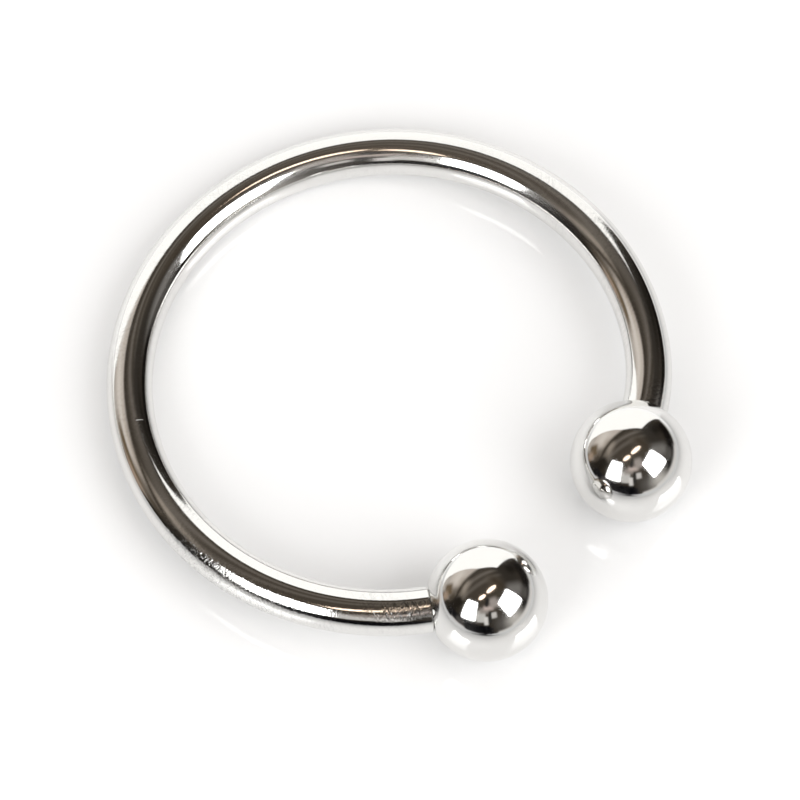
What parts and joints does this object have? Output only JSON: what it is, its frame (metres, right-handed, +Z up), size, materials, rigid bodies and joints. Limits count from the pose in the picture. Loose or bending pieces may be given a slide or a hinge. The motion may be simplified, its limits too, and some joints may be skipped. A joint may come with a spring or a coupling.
{
  "type": "horseshoe ring",
  "caption": "Horseshoe body ring of round polished steel bar, open on one side, with a screw-on ball on each end of the bar.",
  "frame": {"origin": "on the surface that the ring lies on, below the middle of its bounding box", "axes": "+Z up from the surface the ring lies on, the open gap and the two balls towards -Y, the closed side of the bar towards +Y, the left ball at -X"},
  "size_m": [0.0194, 0.02, 0.0042],
  "materials": {
    "bar_steel": "surgical steel, mirror polished, with fine polishing lines and small nicks",
    "ball_steel": "surgical steel, mirror polished"
  },
  "bodies": {
    "bar": {"bar": "bar_steel"},
    "ball_left": {"ball_left": "ball_steel"},
    "ball_right": {"ball_right": "ball_steel"}
  },
  "joints": [
    {"name": "ball_left_unscrew", "type": "slide", "parent": "bar", "child": "ball_left", "axis": [0.7951, -0.6047, 0.0457], "range_m": [0, 0.0017]},
    {"name": "ball_right_unscrew", "type": "slide", "parent": "bar", "child": "ball_right", "axis": [-0.868, -0.4951, 0.0374], "range_m": [0, 0.0017]}
  ]
}
